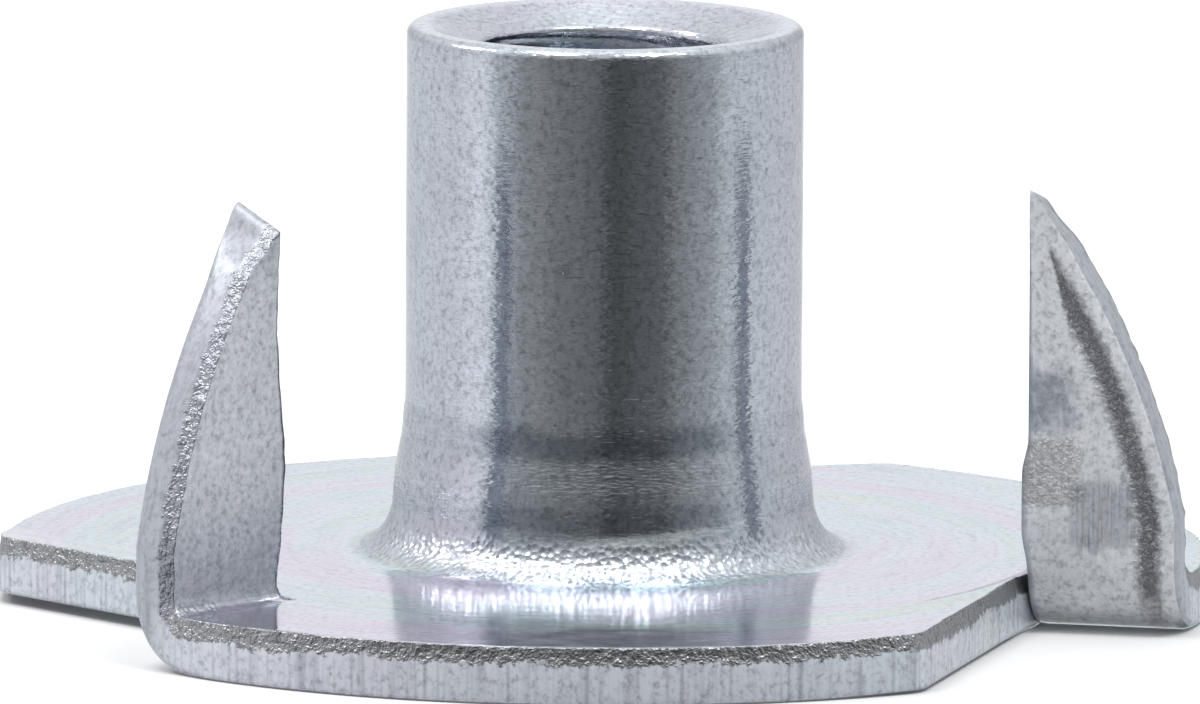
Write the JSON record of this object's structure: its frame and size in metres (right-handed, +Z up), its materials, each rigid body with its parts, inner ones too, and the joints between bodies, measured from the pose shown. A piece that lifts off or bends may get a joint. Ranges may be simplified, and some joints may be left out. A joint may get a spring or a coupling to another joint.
{
  "type": "tee nut",
  "caption": "Round-flanged tee nut with a threaded barrel and prongs folded up from the rim, for a machine screw in wood.",
  "frame": {"origin": "on the barrel's axis, in the plane of the flange's underside", "axes": "+Z up the barrel towards its rim and the prongs' tips; +X lies 13 degrees anticlockwise, seen from above, of the first prong's fold line"},
  "size_m": [0.019, 0.0189, 0.0092],
  "materials": {
    "zinc_steel": "bright zinc plating with a clear blue passivate"
  },
  "bodies": {
    "root": {"tee_nut": "zinc_steel"}
  },
  "joints": []
}
